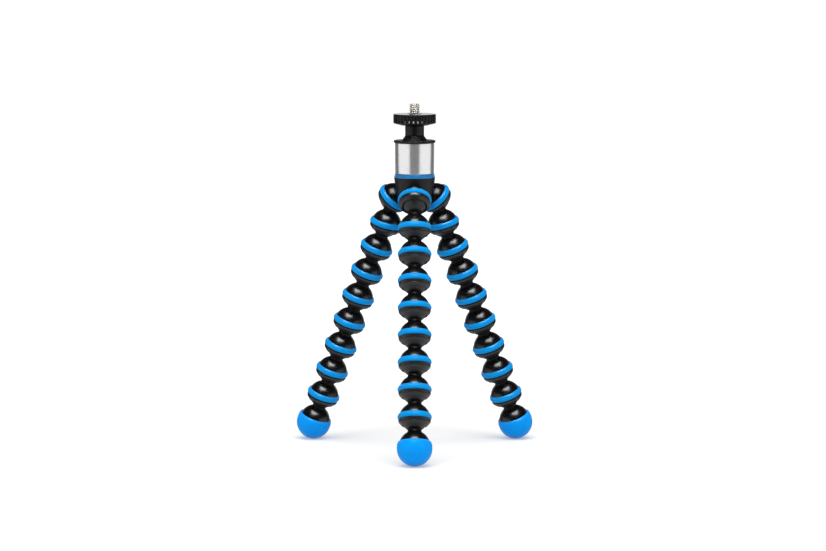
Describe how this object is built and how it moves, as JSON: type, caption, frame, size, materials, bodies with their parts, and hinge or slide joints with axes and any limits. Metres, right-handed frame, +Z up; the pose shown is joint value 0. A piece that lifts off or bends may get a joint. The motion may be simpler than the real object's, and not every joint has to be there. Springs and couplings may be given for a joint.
{
  "type": "flexible leg camera tripod",
  "caption": "Small camera tripod with chains of ball-jointed links as legs, blue rubber rings and feet, a lockable ball head and a knurled wheel round the camera screw.",
  "frame": {"origin": "where the head's axis meets the top face of the knurled wheel, the camera seat", "axes": "+Z up along the camera screw, -Y towards the front leg, +X to the right seen from the front"},
  "size_m": [0.1498, 0.1326, 0.215],
  "materials": {
    "black_plastic": "glossy black moulding",
    "satin_black": "satin black",
    "blue_rubber": "smooth satin blue",
    "foot_rubber": "soft blue",
    "blue_anodised": "glossy blue anodised",
    "silver_metal": "turned, bare",
    "screw_steel": "bright turned steel",
    "spring_steel": "plain spring steel"
  },
  "bodies": {
    "hub": {"hub_body": "black_plastic", "blue_band": "blue_anodised", "disc_springs": "spring_steel", "front_hub_ring": "blue_rubber", "front_hub_collar": "black_plastic", "right_hub_ring": "blue_rubber", "right_hub_collar": "black_plastic", "left_hub_ring": "blue_rubber", "left_hub_collar": "black_plastic"},
    "lock_collar": {"silver_sleeve": "silver_metal", "top_cap": "satin_black"},
    "pan_seat": {"ball_seat": "satin_black"},
    "ball_post": {"ball_stem": "satin_black"},
    "wheel": {"knurled_wheel": "satin_black", "camera_screw": "screw_steel"},
    "front_link_1": {"front_link_1": "black_plastic"},
    "front_link_2": {"front_link_2": "black_plastic"},
    "front_link_3": {"front_link_3": "black_plastic"},
    "front_link_4": {"front_link_4": "black_plastic"},
    "front_link_5": {"front_link_5": "black_plastic"},
    "front_link_6": {"front_link_6": "black_plastic"},
    "front_link_7": {"front_link_7": "black_plastic"},
    "front_link_8": {"front_link_8": "black_plastic"},
    "front_foot": {"front_foot_link": "black_plastic", "front_foot_pad": "foot_rubber"},
    "right_link_1": {"right_link_1": "black_plastic"},
    "right_link_2": {"right_link_2": "black_plastic"},
    "right_link_3": {"right_link_3": "black_plastic"},
    "right_link_4": {"right_link_4": "black_plastic"},
    "right_link_5": {"right_link_5": "black_plastic"},
    "right_link_6": {"right_link_6": "black_plastic"},
    "right_link_7": {"right_link_7": "black_plastic"},
    "right_link_8": {"right_link_8": "black_plastic"},
    "right_foot": {"right_foot_link": "black_plastic", "right_foot_pad": "foot_rubber"},
    "left_link_1": {"left_link_1": "black_plastic"},
    "left_link_2": {"left_link_2": "black_plastic"},
    "left_link_3": {"left_link_3": "black_plastic"},
    "left_link_4": {"left_link_4": "black_plastic"},
    "left_link_5": {"left_link_5": "black_plastic"},
    "left_link_6": {"left_link_6": "black_plastic"},
    "left_link_7": {"left_link_7": "black_plastic"},
    "left_link_8": {"left_link_8": "black_plastic"},
    "left_foot": {"left_foot_link": "black_plastic", "left_foot_pad": "foot_rubber"}
  },
  "joints": [
    {"name": "front_ball_1", "type": "hinge", "parent": "hub", "child": "front_link_1", "pos_m": [0, -0.0154, -0.053], "axis": [-1, 0, 0], "range_deg": [-1, 55]},
    {"name": "front_ball_2", "type": "hinge", "parent": "front_link_1", "child": "front_link_2", "pos_m": [0, -0.02057, -0.0694], "axis": [0, -0.91, 0.4147], "range_deg": [-27, 27]},
    {"name": "front_ball_3", "type": "hinge", "parent": "front_link_2", "child": "front_link_3", "pos_m": [0, -0.02771, -0.08506], "axis": [1, 0, 0], "range_deg": [-27, 27]},
    {"name": "front_ball_4", "type": "hinge", "parent": "front_link_3", "child": "front_link_4", "pos_m": [0, -0.0347, -0.10077], "axis": [0, 0.9272, -0.3746], "range_deg": [-27, 27]},
    {"name": "front_ball_5", "type": "hinge", "parent": "front_link_4", "child": "front_link_5", "pos_m": [0, -0.04114, -0.11672], "axis": [-1, 0, 0], "range_deg": [-27, 27]},
    {"name": "front_ball_6", "type": "hinge", "parent": "front_link_5", "child": "front_link_6", "pos_m": [0, -0.04759, -0.13266], "axis": [0, -0.9272, 0.3746], "range_deg": [-27, 27]},
    {"name": "front_ball_7", "type": "hinge", "parent": "front_link_6", "child": "front_link_7", "pos_m": [0, -0.05403, -0.14861], "axis": [1, 0, 0], "range_deg": [-27, 27]},
    {"name": "front_ball_8", "type": "hinge", "parent": "front_link_7", "child": "front_link_8", "pos_m": [0, -0.06047, -0.16456], "axis": [0, 0.9272, -0.3746], "range_deg": [-27, 27]},
    {"name": "front_ball_9", "type": "hinge", "parent": "front_link_8", "child": "front_foot", "pos_m": [0, -0.06692, -0.18051], "axis": [-1, 0, 0], "range_deg": [-27, 27]},
    {"name": "right_ball_1", "type": "hinge", "parent": "hub", "child": "right_link_1", "pos_m": [0.01334, 0.0077, -0.053], "axis": [0.5, -0.866, 0], "range_deg": [-1, 55]},
    {"name": "right_ball_2", "type": "hinge", "parent": "right_link_1", "child": "right_link_2", "pos_m": [0.01782, 0.01029, -0.0694], "axis": [0.788, 0.455, 0.4147], "range_deg": [-27, 27]},
    {"name": "right_ball_3", "type": "hinge", "parent": "right_link_2", "child": "right_link_3", "pos_m": [0.02399, 0.01385, -0.08506], "axis": [-0.5, 0.866, 0], "range_deg": [-27, 27]},
    {"name": "right_ball_4", "type": "hinge", "parent": "right_link_3", "child": "right_link_4", "pos_m": [0.03005, 0.01735, -0.10077], "axis": [-0.803, -0.4636, -0.3746], "range_deg": [-27, 27]},
    {"name": "right_ball_5", "type": "hinge", "parent": "right_link_4", "child": "right_link_5", "pos_m": [0.03563, 0.02057, -0.11672], "axis": [0.5, -0.866, 0], "range_deg": [-27, 27]},
    {"name": "right_ball_6", "type": "hinge", "parent": "right_link_5", "child": "right_link_6", "pos_m": [0.04121, 0.02379, -0.13266], "axis": [0.803, 0.4636, 0.3746], "range_deg": [-27, 27]},
    {"name": "right_ball_7", "type": "hinge", "parent": "right_link_6", "child": "right_link_7", "pos_m": [0.04679, 0.02702, -0.14861], "axis": [-0.5, 0.866, 0], "range_deg": [-27, 27]},
    {"name": "right_ball_8", "type": "hinge", "parent": "right_link_7", "child": "right_link_8", "pos_m": [0.05237, 0.03024, -0.16456], "axis": [-0.803, -0.4636, -0.3746], "range_deg": [-27, 27]},
    {"name": "right_ball_9", "type": "hinge", "parent": "right_link_8", "child": "right_foot", "pos_m": [0.05795, 0.03346, -0.18051], "axis": [0.5, -0.866, 0], "range_deg": [-27, 27]},
    {"name": "left_ball_1", "type": "hinge", "parent": "hub", "child": "left_link_1", "pos_m": [-0.01334, 0.0077, -0.053], "axis": [0.5, 0.866, 0], "range_deg": [-1, 55]},
    {"name": "left_ball_2", "type": "hinge", "parent": "left_link_1", "child": "left_link_2", "pos_m": [-0.01782, 0.01029, -0.0694], "axis": [-0.788, 0.455, 0.4147], "range_deg": [-27, 27]},
    {"name": "left_ball_3", "type": "hinge", "parent": "left_link_2", "child": "left_link_3", "pos_m": [-0.02399, 0.01385, -0.08506], "axis": [-0.5, -0.866, 0], "range_deg": [-27, 27]},
    {"name": "left_ball_4", "type": "hinge", "parent": "left_link_3", "child": "left_link_4", "pos_m": [-0.03005, 0.01735, -0.10077], "axis": [0.803, -0.4636, -0.3746], "range_deg": [-27, 27]},
    {"name": "left_ball_5", "type": "hinge", "parent": "left_link_4", "child": "left_link_5", "pos_m": [-0.03563, 0.02057, -0.11672], "axis": [0.5, 0.866, 0], "range_deg": [-27, 27]},
    {"name": "left_ball_6", "type": "hinge", "parent": "left_link_5", "child": "left_link_6", "pos_m": [-0.04121, 0.02379, -0.13266], "axis": [-0.803, 0.4636, 0.3746], "range_deg": [-27, 27]},
    {"name": "left_ball_7", "type": "hinge", "parent": "left_link_6", "child": "left_link_7", "pos_m": [-0.04679, 0.02702, -0.14861], "axis": [-0.5, -0.866, 0], "range_deg": [-27, 27]},
    {"name": "left_ball_8", "type": "hinge", "parent": "left_link_7", "child": "left_link_8", "pos_m": [-0.05237, 0.03024, -0.16456], "axis": [0.803, -0.4636, -0.3746], "range_deg": [-27, 27]},
    {"name": "left_ball_9", "type": "hinge", "parent": "left_link_8", "child": "left_foot", "pos_m": [-0.05795, 0.03346, -0.18051], "axis": [0.5, 0.866, 0], "range_deg": [-27, 27]},
    {"name": "collar_lock", "type": "hinge", "parent": "hub", "child": "lock_collar", "pos_m": [0, 0, -0.03], "axis": [0, 0, 1], "range_deg": [0, 90]},
    {"name": "head_pan", "type": "hinge", "parent": "hub", "child": "pan_seat", "pos_m": [0, 0, -0.0265], "axis": [0, 0, 1], "continuous": true},
    {"name": "head_tilt", "type": "hinge", "parent": "pan_seat", "child": "ball_post", "pos_m": [0, 0, -0.0201], "axis": [0, 1, 0], "range_deg": [-19, 19]},
    {"name": "wheel_turn", "type": "hinge", "parent": "ball_post", "child": "wheel", "pos_m": [0, 0, -0.009], "axis": [0, 0, 1], "continuous": true}
  ]
}
